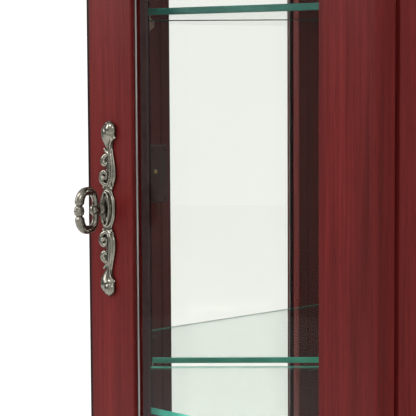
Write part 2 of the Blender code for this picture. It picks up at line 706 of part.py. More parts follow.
def turned_mesh(name, profile, segments):
    """A profile of radius and height, top to bottom, turned about Z."""
    mesh = bpy.data.meshes.new(name)
    bm = bmesh.new()
    verts = [bm.verts.new((radius, 0, height)) for radius, height in profile]
    for first, second in zip(verts, verts[1:]):
        bm.edges.new((first, second))
    bm.to_mesh(mesh)
    bm.free()
    turned = bpy.data.objects.new(name, mesh)
    CUTTERS.objects.link(turned)
    screw = turned.modifiers.new("turn", "SCREW")
    screw.steps = screw.render_steps = segments
    screw.use_merge_vertices = True
    screw.merge_threshold = 1e-5
    result = evaluated_mesh(turned, name)
    clean_mesh(result)
    return result


def add_key():
    """A key with an open oval bow, a bead on the bow, a belled collar, a shank and a bit.

    The key is made along Z, bow up, and its origin is on its turning axis at the door's face.
    """
    tube = 0.0028
    bow_half_height = 0.0164 - tube
    bow_out = KEY_REACH - 0.0014 - tube
    bow_in = 0.0116
    middle, half_depth = (bow_out + bow_in) / 2, (bow_out - bow_in) / 2
    curve = bpy.data.curves.new("bow", "CURVE")
    curve.dimensions = "3D"
    curve.bevel_depth = tube
    curve.bevel_resolution = 2
    curve.resolution_u = 6
    angles = [pi * i / 4 for i in range(8)]
    route = [(bow_half_height * cos(a), middle + half_depth * sin(a)) for a in angles]
    spline = curve.splines.new("BEZIER")
    spline.bezier_points.add(len(route) - 1)
    spline.use_cyclic_u = True
    for point, (x, z) in zip(spline.bezier_points, route):
        point.co = (x, 0, z)
        point.handle_left_type = point.handle_right_type = "AUTO"
    bow = bpy.data.objects.new("bow", curve)
    CUTTERS.objects.link(bow)
    bow_mesh = evaluated_mesh(bow, "bow")

    tip = -(DOOR_THICKNESS + 0.0041)
    profile = [(0, bow_in + 0.0034), (0.0022, bow_in + 0.0026), (0.0033, bow_in + 0.0002)]
    profile += [(0.0026, bow_in - 0.0024), (0.0034, bow_in - 0.0042), (0.0050, bow_in - 0.0060)]
    profile += [(0.0050, bow_in - 0.0070), (SHANK_RADIUS, bow_in - 0.0074)]
    profile += [(SHANK_RADIUS, tip + 0.0006), (SHANK_RADIUS - 0.0006, tip), (0, tip)]
    key = add_object("key", turned_mesh("key", profile, 20), PEWTER, Matrix())
    key.matrix_world = matrix_of((LOCK_X, DOOR_Y, LOCK_Z), (0, 0, 1), (-1, 0, 0))
    bead = bmesh.new()
    place = Matrix.Translation((0, 0, bow_out))
    bmesh.ops.create_uvsphere(bead, u_segments=16, v_segments=10, radius=tube + 0.0014, matrix=place)
    bead_mesh = bpy.data.meshes.new("bead")
    bead.to_mesh(bead_mesh)
    bead.free()
    bit_low = (-BIT_LENGTH, -0.0010, tip + 0.0004)
    bit_high = (0, 0.0010, tip + 0.0036)
    pieces = (("bow", bow_mesh), ("bead", bead_mesh), ("bit", box_mesh("bit", bit_low, bit_high)))
    for name, mesh in pieces:
        guide = add_cutter(f"key_{name}", mesh)
        guide.matrix_world = key.matrix_world
        boolean(key, guide, "UNION")


# ---- hinges ----


def add_hinges():
    """Two butt hinges: a leaf on the case, a leaf on the door, and a pin with ball ends."""
    third = HINGE_LENGTH / 3
    gap = 0.0004
    near, far = HINGE_Y - 0.00015 - LEAF_THICKNESS / 2, HINGE_Y + 0.00015 + LEAF_THICKNESS / 2
    leaves = (
        ("door_leaf", near, 0.0185, [(-third / 2 + gap / 2, third / 2 - gap / 2)]),
        (
            "case_leaf",
            far,
            0.0125,
            [(-HINGE_LENGTH / 2, -third / 2 - gap / 2), (third / 2 + gap / 2, HINGE_LENGTH / 2)],
        ),
    )
    edge = HINGE_X - KNUCKLE_RADIUS - 0.0003
    for level, height in (("lower", DOOR_BOTTOM + HINGE_FROM_END), ("upper", DOOR_TOP - HINGE_FROM_END)):
        axis = Vector((HINGE_X, HINGE_Y, height))
        bore_ends = (axis - UP * HINGE_LENGTH, axis + UP * HINGE_LENGTH)
        bore_mesh = cylinder_mesh("pin_bore", [(*bore_ends, PIN_RADIUS + GAP)], 16)
        bore = add_cutter(f"pin_bore_{level}", bore_mesh)
        for kind, y, width, knuckles in leaves:
            half = HINGE_LENGTH / 2
            plate_low = (edge - width, y - LEAF_THICKNESS / 2, height - half)
            plate_high = (edge, y + LEAF_THICKNESS / 2, height + half)
            name = f"{level}_hinge_{kind}"
            leaf = add_object(name, box_mesh(name, plate_low, plate_high), BRASS, Matrix())
            for number, (low, high) in enumerate(knuckles):
                tab_low = (edge - 0.001, y - LEAF_THICKNESS / 2, height + low)
                tab_high = (HINGE_X, y + LEAF_THICKNESS / 2, height + high)
                tab = add_cutter(f"{name}_tab_{number}", box_mesh("tab", tab_low, tab_high))
                rod = (axis + UP * low, axis + UP * high, KNUCKLE_RADIUS)
                barrel = add_cutter(f"{name}_barrel_{number}", cylinder_mesh("barrel", [rod], 20))
                boolean(leaf, tab, "UNION")
                boolean(leaf, barrel, "UNION")
            boolean(leaf, bore)
        top = HINGE_LENGTH / 2 + gap
        ball = 0.0026
        finial = [(ball * sin(pi * i / 6), top + ball + ball * cos(pi * i / 6)) for i in range(6)]
        profile = finial + [(PIN_RADIUS, top), (PIN_RADIUS, -top)]
        profile += [(radius, -z) for radius, z in reversed(finial)]
        pin = add_object(f"{level}_hinge_pin", turned_mesh("hinge_pin", profile, 16), BRASS, Matrix())
        pin.location = axis
        smooth(pin.data)


# ---- the whole cabinet ----


def main():
    posts = add_posts()
    add_rear_post()
    add_panels()
    add_side_rails()
    add_side_glass()
    add_backs()
    add_base()
    add_moulding("crown", crown_section())
    add_shelves()
    add_clips(posts)
    members = add_door_frame()
    add_door_glass()
    plate = add_escutcheon()
    add_keyhole((plate, members["door_lock_stile"]))
    add_lock(posts["left_front_post"])
    add_key()
    add_hinges()


main()
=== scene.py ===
"""Looks of the corner curio cabinet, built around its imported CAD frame. Metres, +Z up."""

import json
import math

import bmesh
import bpy
from mathutils import Matrix, Vector

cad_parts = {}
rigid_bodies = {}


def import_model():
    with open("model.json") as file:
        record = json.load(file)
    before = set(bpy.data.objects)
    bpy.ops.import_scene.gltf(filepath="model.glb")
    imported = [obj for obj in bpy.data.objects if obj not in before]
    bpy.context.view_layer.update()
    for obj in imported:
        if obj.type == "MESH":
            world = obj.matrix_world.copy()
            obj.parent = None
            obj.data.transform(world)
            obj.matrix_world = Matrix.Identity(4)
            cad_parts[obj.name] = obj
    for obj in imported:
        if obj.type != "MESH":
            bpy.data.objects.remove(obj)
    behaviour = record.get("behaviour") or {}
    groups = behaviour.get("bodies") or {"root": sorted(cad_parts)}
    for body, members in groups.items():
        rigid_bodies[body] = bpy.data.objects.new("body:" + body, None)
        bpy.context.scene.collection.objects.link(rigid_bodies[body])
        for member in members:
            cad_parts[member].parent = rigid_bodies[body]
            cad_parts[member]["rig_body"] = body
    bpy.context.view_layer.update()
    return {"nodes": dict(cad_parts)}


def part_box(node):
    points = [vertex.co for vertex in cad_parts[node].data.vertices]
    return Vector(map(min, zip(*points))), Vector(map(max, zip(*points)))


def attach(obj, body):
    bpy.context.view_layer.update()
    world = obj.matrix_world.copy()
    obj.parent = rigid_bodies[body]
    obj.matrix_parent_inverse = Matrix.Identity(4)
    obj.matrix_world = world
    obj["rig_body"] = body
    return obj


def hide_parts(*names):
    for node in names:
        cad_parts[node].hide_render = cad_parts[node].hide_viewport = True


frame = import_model()

MM = 0.001
LOCK_X = -0.112
key_low, key_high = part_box("key")
DOOR_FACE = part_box("door_lock_stile")[0].y
LOCK = Vector((LOCK_X, DOOR_FACE, (key_low.z + key_high.z) / 2))  # key axis at the door's face
MILLIMETRES = Matrix.Diagonal((MM, MM, MM, 1))
AT_LOCK = Matrix.Translation(LOCK) @ MILLIMETRES  # from millimetres about the key axis at the door's face

# ---- helpers ----


def mesh_of(bm, name):
    """A mesh made from a bmesh, which is freed."""
    mesh = bpy.data.meshes.new(name)
    bm.to_mesh(mesh)
    bm.free()
    return mesh


def add_object(name, data):
    obj = bpy.data.objects.new(name, data)
    bpy.context.scene.collection.objects.link(obj)
    return obj


def circle_angles(count):
    return [2 * math.pi * i / count for i in range(count)]


def bridge(bm, first, second):
    """Quads between two rings of vertices."""
    for k in range(len(first)):
        n = (k + 1) % len(first)
        bm.faces.new((first[k], first[n], second[n], second[k]))


def add_cut(work, cutter):
    """An exact boolean that takes the cutter out of a working object."""
    cut = work.modifiers.new("cut", "BOOLEAN")
    cut.operation = "DIFFERENCE"
    cut.object = cutter
    cut.solver = "EXACT"


# ---- camera, light and stage ----

CAMERA_PLACE = Vector((0.80708, DOOR_FACE - 0.79176, 0.91618))
CAMERA_AZIMUTH = math.radians(45.947)
CAMERA_DOWN = math.radians(5.064)
CAMERA_ROLL = math.radians(-0.312)
CAMERA_LENS = 149.15
CAMERA_SENSOR = 36.0
WORLD_COLOUR = (1.0, 1.0, 0.985, 1)
WORLD_STRENGTH = 1.1
LIGHTS = (  # name, place, target, size in metres, watts, tint
    ("window", (-2.6, -2.2, 2.1), (-0.1, -0.2, 0.9), (1.2, 1.8), 60, (0.98, 0.99, 1.0)),
    ("key_light", (-0.5, -2.0, 2.7), (-0.1, -0.2, 0.8), (0.45, 0.45), 24, (1.0, 1.0, 1.0)),
    ("side_light", (1.5, -1.5, 1.9), (-0.1, -0.2, 0.8), (0.35, 0.35), 12, (1.0, 0.99, 0.97)),
)
FLAG_RADIUS = 5.0
FLAG_LOW, FLAG_HIGH = -2.0, 3.2
FLAG_START, FLAG_SWEEP = 178, 72  # degrees round the cabinet
FLAG_STEPS = 24
FLOOR_RADIUS = 9
FLOOR_DROP = 0.0005  # keeps the floor clear of the base's underside


def add_camera():
    a, down, roll = CAMERA_AZIMUTH, CAMERA_DOWN, CAMERA_ROLL
    forward = Vector((-math.sin(a) * math.cos(down), math.cos(a) * math.cos(down), -math.sin(down)))
    right = Vector((math.cos(a), math.sin(a), 0))
    up = right.cross(forward)
    x_axis = right * math.cos(roll) + up * math.sin(roll)
    y_axis = up * math.cos(roll) - right * math.sin(roll)
    camera = add_object("camera", bpy.data.cameras.new("camera"))
    turn = Matrix((x_axis, y_axis, -forward)).transposed().to_4x4()
    camera.matrix_world = Matrix.Translation(CAMERA_PLACE) @ turn
    camera.data.lens = CAMERA_LENS
    camera.data.sensor_width = CAMERA_SENSOR
    bpy.context.scene.camera = camera


def add_area_light(name, place, target, size, power, tint):
    light = bpy.data.lights.new(name, "AREA")
    light.shape = "RECTANGLE"
    light.size, light.size_y = size
    light.energy = power
    light.color = tint
    lamp = add_object(name, light)
    lamp.location = place
    lamp.rotation_euler = (Vector(target) - Vector(place)).to_track_quat("-Z", "Y").to_euler()


def add_flag():
    """A dark curved screen to the left, seen only in reflections."""
    bm = bmesh.new()
    columns = []
    for i in range(FLAG_STEPS + 1):
        angle = math.radians(FLAG_START + FLAG_SWEEP * i / FLAG_STEPS)
        x, y = FLAG_RADIUS * math.cos(angle), FLAG_RADIUS * math.sin(angle)
        columns.append((bm.verts.new((x, y, FLAG_LOW)), bm.verts.new((x, y, FLAG_HIGH))))
    for (a, b), (c, d) in zip(columns, columns[1:]):
        bm.faces.new((a, c, d, b))
    flag = add_object("flag", mesh_of(bm, "flag"))
    cloth = Nodes("flag_cloth")
    cloth.set(Base_Color=(0.10, 0.095, 0.09, 1), Roughness=0.9)
    flag.data.materials.append(cloth.material)
    flag.visible_camera = False
    flag.visible_diffuse = False
    flag.visible_transmission = False
    flag.visible_shadow = False


def add_floor():
    bm = bmesh.new()
    bmesh.ops.create_circle(bm, cap_ends=True, segments=96, radius=FLOOR_RADIUS)
    floor = add_object("floor", mesh_of(bm, "floor"))
    floor.location.z = -FLOOR_DROP
    paint_coat = Nodes("floor_paint")
    paint_coat.set(Base_Color=(0.97, 0.97, 0.96, 1), Roughness=0.6, Specular_IOR_Level=0.2)
    floor.data.materials.append(paint_coat.material)


def add_studio():
    world = bpy.data.worlds.new("studio")
    bpy.context.scene.world = world
    world.use_nodes = True
    back = world.node_tree.nodes["Background"]
    back.inputs["Color"].default_value = WORLD_COLOUR
    back.inputs["Strength"].default_value = WORLD_STRENGTH
    for light in LIGHTS:
        add_area_light(*light)
    add_flag()
    add_floor()


# ---- materials ----


class Nodes:
    """A material's node tree, with short calls for what the materials below repeat."""

    def __init__(self, name):
        self.material = bpy.data.materials.new(name)
        self.material.use_nodes = True
        self.tree = self.material.node_tree
        self.shader = self.tree.nodes["Principled BSDF"]
        self.output = self.tree.nodes["Material Output"]

    def add(self, kind, **values):
        node = self.tree.nodes.new(kind)
        for key, value in values.items():
            setattr(node, key, value)
        return node

    def link(self, source, target):
        self.tree.links.new(source, target)

    def place(self):
        return self.add("ShaderNodeTexCoord").outputs["Object"]

    def scaled(self, vector, scale):
        node = self.add("ShaderNodeVectorMath", operation="MULTIPLY")
        self.link(vector, node.inputs[0])
        node.inputs[1].default_value = scale
        return node.outputs[0]

    def noise(self, vector, scale, detail=3.0, roughness=0.5, distortion=0.0):
        node = self.add("ShaderNodeTexNoise")
        self.link(vector, node.inputs["Vector"])
        node.inputs["Scale"].default_value = scale
        node.inputs["Detail"].default_value = detail
        node.inputs["Roughness"].default_value = roughness
        node.inputs["Distortion"].default_value = distortion
        return node.outputs[0]

    def ramp(self, value, stops):
        """Colours by value: each stop is a position and a colour or a grey."""
        node = self.add("ShaderNodeValToRGB")
        elements = node.color_ramp.elements
        while len(elements) < len(stops):
            elements.new(0.5)
        for element, (position, colour) in zip(elements, stops):
            element.position = position
            element.color = (*colour, 1) if isinstance(colour, tuple) else (colour, colour, colour, 1)
        self.link(value, node.inputs[0])
        return node.outputs[0]

    def mix(self, share, first, second, blend="MIX"):
        node = self.add("ShaderNodeMix", data_type="RGBA", blend_type=blend)
        for socket, value in ((node.inputs[0], share), (node.inputs[6], first), (node.inputs[7], second)):
            if isinstance(value, bpy.types.NodeSocket):
                self.link(value, socket)
            else:
                socket.default_value = (*value, 1) if isinstance(value, tuple) else value
        return node.outputs[2]

    def span(self, value, low, high):
        """A value from 0 to 1 carried to low to high."""
        node = self.add("ShaderNodeMapRange")
        self.link(value, node.inputs["Value"])
        node.inputs["To Min"].default_value = low
        node.inputs["To Max"].default_value = high
        return node.outputs[0]

    def bump(self, height, strength, distance):
        node = self.add("ShaderNodeBump")
        node.inputs["Strength"].default_value = strength
        node.inputs["Distance"].default_value = distance
        self.link(height, node.inputs["Height"])
        self.link(node.outputs[0], self.shader.inputs["Normal"])

    def set(self, **values):
        for key, value in values.items():
            self.shader.inputs[key.replace("_", " ")].default_value = value

    def colour(self, socket):
        self.link(socket, self.shader.inputs["Base Color"])

    def roughness(self, socket):
        self.link(socket, self.shader.inputs["Roughness"])

    def let_light_through(self):
        """Shadow rays pass, so that what stands behind the glass is lit."""
        path = self.add("ShaderNodeLightPath")
        clear = self.add("ShaderNodeBsdfTransparent")
        mixed = self.add("ShaderNodeMixShader")
        self.link(path.outputs["Is Shadow Ray"], mixed.inputs[0])
        self.link(self.shader.outputs[0], mixed.inputs[1])
        self.link(clear.outputs[0], mixed.inputs[2])
        self.link(mixed.outputs[0], self.output.inputs["Surface"])
        return clear


CHERRY_DARK = (0.070, 0.0070, 0.0064)
CHERRY_MIDDLE = (0.103, 0.0095, 0.0086)
CHERRY_LIGHT = (0.134, 0.0132, 0.0118)
# painted shade: a dark band down the lock stile's outer edge, standing in for the shadow on its side
EDGE_SHADE_COLOUR = (0.012, 0.0028, 0.0034)
EDGE_SHADE_END = 3.4 * MM  # from the stile's outer edge
UNSHADED_WOOD_START = 4.1 * MM
EDGE_DEEP_GREEN = (0.012, 0.128, 0.094)
EDGE_PALE_GREEN = (0.058, 0.235, 0.175)


def grain_vector(nodes, along):
    """Coordinates across the grain twice and along it once, in metres."""
    along = Vector(along).normalized()
    across = Vector((0, 0, 1)).cross(along) if abs(along.z) < 0.5 else Vector((1, 0, 0))
    across = across.normalized()
    place = nodes.place()
    joined = nodes.add("ShaderNodeCombineXYZ")
    for socket, axis in zip(joined.inputs, (across, along.cross(across), along)):
        dot = nodes.add("ShaderNodeVectorMath", operation="DOT_PRODUCT")
        nodes.link(place, dot.inputs[0])
        dot.inputs[1].default_value = axis
        nodes.link(dot.outputs["Value"], socket)
    return joined.outputs[0]


def cherry(name, along, dark_edge_x=None):
    """Red-stained cherry under satin lacquer, with its grain along the given direction, and with painted
    shade along a stile's outer edge when its x is given.
    """
    nodes = Nodes(name)
    place = grain_vector(nodes, along)
    figure = nodes.noise(nodes.scaled(place, (46, 46, 2.4)), 1.0, 4, 0.55, 0.8)
    streaks = nodes.noise(nodes.scaled(place, (420, 420, 7.0)), 1.0, 3, 0.6)
    pores = nodes.noise(nodes.scaled(place, (1500, 1500, 60)), 1.0, 2, 0.5)
    cloud = nodes.noise(place, 5.0, 2)
    base = nodes.ramp(figure, [(0.30, CHERRY_DARK), (0.52, CHERRY_MIDDLE), (0.74, CHERRY_LIGHT)])
    streaked = nodes.mix(0.75, base, nodes.ramp(streaks, [(0.28, 0.55), (0.72, 1.0)]), "MULTIPLY")
    pored = nodes.mix(0.55, streaked, nodes.ramp(pores, [(0.30, 0.45), (0.44, 1.0)]), "MULTIPLY")
    wood = nodes.mix(0.35, pored, nodes.ramp(cloud, [(0.3, 0.72), (0.7, 1.0)]), "MULTIPLY")
    if dark_edge_x is not None:
        # the photo shows a dark line down the stile's outer edge
        # painted shade: the wood turns to the dark band colour near the edge, where shade falls
        across = nodes.add("ShaderNodeSeparateXYZ")
        nodes.link(nodes.place(), across.inputs[0])
        unshaded = nodes.add("ShaderNodeMapRange")
        nodes.link(across.outputs["X"], unshaded.inputs["Value"])
        unshaded.inputs["From Min"].default_value = dark_edge_x + EDGE_SHADE_END
        unshaded.inputs["From Max"].default_value = dark_edge_x + UNSHADED_WOOD_START
        wood = nodes.mix(unshaded.outputs[0], EDGE_SHADE_COLOUR, wood)
    nodes.colour(wood)
    nodes.roughness(nodes.span(streaks, 0.27, 0.42))
    height = nodes.mix(0.5, streaks, pores)
    nodes.bump(height, 0.16, 0.0004)
    nodes.set(Specular_IOR_Level=0.09)
    return nodes.material


def hardboard():
    nodes = Nodes("hardboard")
    place = nodes.place()
    fibres = nodes.noise(place, 700, 4, 0.7)
    cloud = nodes.noise(place, 9, 3)
    base = nodes.ramp(fibres, [(0.3, (0.12, 0.065, 0.038)), (0.7, (0.26, 0.155, 0.095))])
    nodes.colour(nodes.mix(0.4, base, nodes.ramp(cloud, [(0.3, 0.6), (0.7, 1.0)]), "MULTIPLY"))
    nodes.roughness(nodes.span(fibres, 0.65, 0.9))
    nodes.bump(fibres, 0.3, 0.0003)
    nodes.set(Specular_IOR_Level=0.3)
    return nodes.material


def clear_glass(name, tint, haze=0.012, index=1.16):
    nodes = Nodes(name)
    smears = nodes.noise(nodes.scaled(nodes.place(), (14, 14, 5)), 1.0, 4, 0.6, 0.6)
    nodes.roughness(nodes.span(smears, 0.0, haze))
    nodes.set(Base_Color=(*tint, 1), Transmission_Weight=1.0, IOR=index)
    clear = nodes.let_light_through()
    clear.inputs["Color"].default_value = (*tint, 1)
    return nodes.material


def ground_edge(name, gain):
    """The green edge of float glass, as an opaque colour with a gain on its brightness: the gain paints light
    and shade on the edge.
    """
    nodes = Nodes(name)
    place = nodes.place()
    long = nodes.noise(nodes.scaled(place, (11, 11, 0)), 1.0, 3, 0.6)
    fine = nodes.noise(nodes.scaled(place, (160, 160, 900)), 1.0, 3, 0.6)
    deep = tuple(gain * part for part in EDGE_DEEP_GREEN)
    pale = tuple(gain * part for part in EDGE_PALE_GREEN)
    base = nodes.ramp(long, [(0.36, deep), (0.66, pale)])
    nodes.colour(nodes.mix(0.35, base, nodes.ramp(fine, [(0.3, 0.6), (0.7, 1.0)]), "MULTIPLY"))
    nodes.roughness(nodes.span(fine, 0.12, 0.28))
    nodes.set(Specular_IOR_Level=0.12)
    return nodes.material


def silver_mirror():
    nodes = Nodes("silver_mirror")
    place = nodes.place()
    haze = nodes.noise(place, 6, 3)
    nodes.colour(nodes.ramp(haze, [(0.3, (0.795, 0.810, 0.778)), (0.7, (0.815, 0.828, 0.796))]))
    nodes.roughness(nodes.span(haze, 0.0, 0.004))
    nodes.set(Metallic=1.0)
    return nodes.material


RECESS_REACH = 3.0 * MM  # how near a recess's walls are where the plate stays dark


def pewter(name, polished, bright, dull, dark):
    """Antiqued plate: polished where it is rubbed, dull on the flats, brown and dark in the recesses."""
    nodes = Nodes(name)
    edges = nodes.add("ShaderNodeNewGeometry").outputs["Pointiness"]
    place = nodes.place()
    patches = nodes.noise(place, 300, 4, 0.65)
    specks = nodes.noise(place, 2600, 3, 0.6)
    shelter = nodes.add("ShaderNodeAmbientOcclusion", samples=8)
    shelter.inputs["Distance"].default_value = RECESS_REACH
    open_air = nodes.ramp(shelter.outputs["AO"], [(0.42, 0.0), (0.88, 1.0)])
    worn = nodes.ramp(edges, [(0.495, 0.0), (0.56, 1.0)])
    face = nodes.mix(nodes.ramp(patches, [(0.35, 0.0), (0.65, 1.0)]), dull, bright)
    rubbed = nodes.mix(worn, face, polished)
    nodes.colour(nodes.mix(open_air, dark, rubbed))
    rough = nodes.mix(open_air, (0.50, 0.50, 0.50), (0.20, 0.20, 0.20))
    nodes.roughness(nodes.mix(0.16, rough, specks))
    nodes.bump(specks, 0.10, 0.0002)
    nodes.set(Metallic=1.0)
    return nodes.material


def brushed_metal(name, colour, dark, roughness=(0.22, 0.42)):
    nodes = Nodes(name)
    place = nodes.place()
    brush = nodes.noise(nodes.scaled(place, (2200, 2200, 60)), 1.0, 3, 0.6)
    tarnish = nodes.noise(place, 90, 4, 0.6)
    nodes.colour(nodes.mix(nodes.ramp(tarnish, [(0.35, 0.0), (0.7, 1.0)]), dark, colour))
    nodes.roughness(nodes.span(brush, *roughness))
    nodes.bump(brush, 0.08, 0.0002)
    nodes.set(Metallic=1.0)
    return nodes.material


def clear_vinyl():
    nodes = Nodes("clear_vinyl")
    waves = nodes.noise(nodes.scaled(nodes.place(), (300, 300, 12)), 1.0, 3)
    nodes.colour(nodes.ramp(waves, [(0.3, (0.15, 0.13, 0.12)), (0.7, (0.42, 0.39, 0.37))]))
    nodes.roughness(nodes.span(waves, 0.12, 0.3))
    nodes.bump(waves, 0.1, 0.0003)
    nodes.set(Transmission_Weight=0.45, IOR=1.48, Coat_Weight=0.6, Coat_Roughness=0.08)
    return nodes.material


# painted shade: the dark colour stands in for shade on the faces and edges that use it
def shadow_edge(name, tint):
    """A dark surface without a sheen, where the photo shows a dark line or face."""
    nodes = Nodes(name)
    mottle = nodes.noise(nodes.place(), 160, 3)
    darker = tuple(0.7 * part for part in tint)
    nodes.colour(nodes.ramp(mottle, [(0.3, darker), (0.7, tint)]))
    nodes.roughness(nodes.span(mottle, 0.55, 0.7))
    nodes.set(Specular_IOR_Level=0.0)
    return nodes.material


HALF = math.sqrt(0.5)
SIDE_ALONG = {"left": (HALF, -HALF, 0), "right": (-HALF, -HALF, 0)}
WOOD = {
    "upright": cherry("cherry_upright", (0, 0, 1)),
    # the lock stile's wood carries a band of painted shade down its outer edge
    "lock stile": cherry("cherry_lock_stile", (0, 0, 1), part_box("door_lock_stile")[0].x),
    "level": cherry("cherry_level", (1, 0, 0)),
    "left": cherry("cherry_left", SIDE_ALONG["left"]),
    "right": cherry("cherry_right", SIDE_ALONG["right"]),
}
BOARD = hardboard()
PANE = clear_glass("pane_glass", (0.985, 0.99, 0.985))
SHELF = clear_glass("shelf_glass_clear", (0.73, 0.785, 0.755), 0.006, 1.2)
# brightness of each shelf's edge: matched to the photo's view where it shows, not a property of the glass
# painted light and shade: each gain lights or shades one shelf's edge in place of the light it gets
EDGE_PAINTED_LIGHT = {1: 0.8, 2: 2.0, 3: 0.34, 4: 0.6}
EDGES = {number: ground_edge(f"glass_edge_{number}", gain) for number, gain in EDGE_PAINTED_LIGHT.items()}
MIRROR = silver_mirror()
PEWTER = pewter(
    "antique_pewter",
    polished=(0.40, 0.38, 0.32),
    bright=(0.185, 0.175, 0.146),
    dull=(0.080, 0.075, 0.061),
    dark=(0.022, 0.018, 0.014),
)
KEY_METAL = pewter(
    "key_pewter",
    polished=(0.34, 0.32, 0.27),
    bright=(0.165, 0.155, 0.131),
    dull=(0.070, 0.064, 0.052),
    dark=(0.034, 0.028, 0.021),
)
BRASS = brushed_metal("antique_brass", (0.50, 0.36, 0.15), (0.26, 0.17, 0.07))
STEEL = brushed_metal("lock_steel", (0.075, 0.040, 0.037), (0.055, 0.030, 0.028), (0.45, 0.62))
BRONZE = brushed_metal("clip_bronze", (0.20, 0.13, 0.08), (0.07, 0.045, 0.030), (0.3, 0.5))
VINYL = clear_vinyl()
# painted shade: dark wood without a sheen, for the lock stile's outer strip and the wall posts' faces towards
# the mirrors
SHADE_PAINTED_WOOD = shadow_edge("cherry_painted_shade", (0.016, 0.0035, 0.0042))
# painted shade on the lock stile's inner step
SHADED_STEP = shadow_edge("cherry_inner_step", (0.045, 0.027, 0.027))
# painted shade on the mirrors' edge faces
MIRROR_RIM = shadow_edge("mirror_rim", (0.022, 0.012, 0.012))

# ---- pieces made from the CAD nodes ----

BEAD_INSET = 9.9 * MM  # bead axis from the glazing channel's outer edge
BEAD_RADIUS = 0.75 * MM
BEAD_DEPTH = 0.85 * MM  # bead axis behind the channel's front
BEAD_SIDES = 16

# roundings of sharp edges
WOOD_EDGE = 0.5 * MM
BOARD_EDGE = 0.6 * MM  # back boards and rear post
PANE_EDGE = 0.5 * MM
MIRROR_EDGE = 0.1 * MM
SHELF_EDGE = 0.7 * MM
CLIP_EDGE = 0.35 * MM
HINGE_EDGE = 0.15 * MM
STRIKE_EDGE = 0.3 * MM
BOLT_EDGE = 0.4 * MM
LOCK_CASE_EDGE = 0.5 * MM

# the outer strip is painted shade
STILE_DARK_WIDTH = 2.0 * MM  # the lock stile's outer strip that is dark all round
STILE_STEP_DEPTH = 8.0 * MM  # behind the door's face, where the stile's inner step starts

BODIES = {node: obj["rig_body"] for node, obj in frame["nodes"].items()}


def new_piece(name, mesh, body, materials):
    obj = add_object(name, mesh)
    mesh.materials.clear()
    for material in materials:
        mesh.materials.append(material)
    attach(obj, body)
    return obj


def applied(obj, name):
    """The evaluated mesh of a working object, which is removed."""
    bpy.context.view_layer.update()
    graph = bpy.context.evaluated_depsgraph_get()
    mesh = bpy.data.meshes.new_from_object(obj.evaluated_get(graph))
    mesh.name = name
    bpy.data.objects.remove(obj)
    return mesh


def whole_faces(node):
    """A node's mesh with its triangles joined into whole flat faces."""
    bm = bmesh.new()
    bm.from_mesh(frame["nodes"][node].data)
    bmesh.ops.remove_doubles(bm, verts=bm.verts, dist=1e-6)
    bmesh.ops.dissolve_limit(bm, angle_limit=math.radians(0.5), verts=bm.verts, edges=bm.edges)
    bmesh.ops.recalc_face_normals(bm, faces=bm.faces)
    return mesh_of(bm, node)


def rounded(node, width, materials, segments=3, angle=30):
    """A piece that stands for a node, with its sharp edges rounded."""
    mesh = whole_faces(node)
    mesh.shade_smooth()
    mesh.set_sharp_from_angle(angle=math.radians(89))
    work = add_object(node, mesh)
    bevel = work.modifiers.new("bevel", "BEVEL")
    bevel.width = width
    bevel.segments = segments
    bevel.limit_method = "ANGLE"
    bevel.angle_limit = math.radians(angle)
    bevel.use_clamp_overlap = True
    flatten = work.modifiers.new("flat_faces", "WEIGHTED_NORMAL")
    flatten.weight = 100
    mesh = applied(work, f"{node}_piece")
    piece = new_piece(f"{node}_piece", mesh, BODIES[node], materials)
    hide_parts(node)
    return piece


def paint(node, material):
    """A CAD node that keeps its shape gets its material."""
    data = frame["nodes"][node].data
    data.materials.clear()
    data.materials.append(material)


def darken_inner_face(node, facing):
    """A post's face towards the mirror is dark and has no sheen, as in the photo."""
    data = frame["nodes"][node].data
    # painted shade: the face towards the mirror takes dark wood without a sheen
    data.materials.append(SHADE_PAINTED_WOOD)
    for face in data.polygons:
        face.material_index = 1 if face.normal.dot(facing) > 0.98 else 0


def finish_wood():
    for word, side in (("left", 1), ("right", -1)):
        paint(f"{word}_front_post", WOOD["upright"])
        paint(f"{word}_wall_post", WOOD["upright"])
        darken_inner_face(f"{word}_wall_post", Vector((side * HALF, HALF, 0)))
        for node in (f"{word}_side_top_rail", f"{word}_side_bottom_rail", f"base_{word}", f"crown_{word}"):
            rounded(node, WOOD_EDGE, [WOOD[word]], 2)
        rounded(f"{word}_back_board", BOARD_EDGE, [BOARD], 2)
    for node in ("bottom_panel", "top_panel"):
        paint(node, WOOD["level"])
    for node in ("base_front", "crown_front", "door_top_rail", "door_bottom_rail"):
        rounded(node, WOOD_EDGE, [WOOD["level"]], 3)
    rounded("door_hinge_stile", WOOD_EDGE, [WOOD["upright"]], 3)
    finish_lock_stile()
    rounded("rear_post", BOARD_EDGE, [WOOD["upright"]], 2)


def finish_lock_stile():
    """The stile's outer edge and its inner step have their own dark materials, which are painted shade."""
    stile = rounded("door_lock_stile", WOOD_EDGE, [WOOD["lock stile"], SHADE_PAINTED_WOOD, SHADED_STEP], 3)
    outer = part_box("door_lock_stile")[0].x
    for face in stile.data.polygons:
        face.material_index = 0
        # painted shade: the outer strip and the inner step take the dark materials
        if face.center.x < outer + STILE_DARK_WIDTH and abs(face.normal.z) < 0.5:
            face.material_index = 1
        elif face.normal.x > 0.5 and face.center.y > DOOR_FACE + STILE_STEP_DEPTH:
            face.material_index = 2


def finish_glass():
    for node in ("door_glass", "left_side_glass", "right_side_glass"):
        rounded(node, PANE_EDGE, [PANE])
    for word, side in (("left", -1), ("right", 1)):
        mirror = rounded(f"{word}_mirror", MIRROR_EDGE, [MIRROR, MIRROR_RIM], 2)
        # painted shade: every face but the silvered ones takes the dark rim material
        for face in mirror.data.polygons:
            facing = abs(face.normal.dot(Vector((side * HALF, HALF, 0))))
            face.material_index = 0 if facing > 0.9 else 1
    add_glazing_bead()
    for number in EDGES:
        shelf = rounded(f"shelf_{number}", SHELF_EDGE, [SHELF, EDGES[number]])
        for face in shelf.data.polygons:
            face.material_index = 0 if abs(face.normal.z) > 0.9 else 1


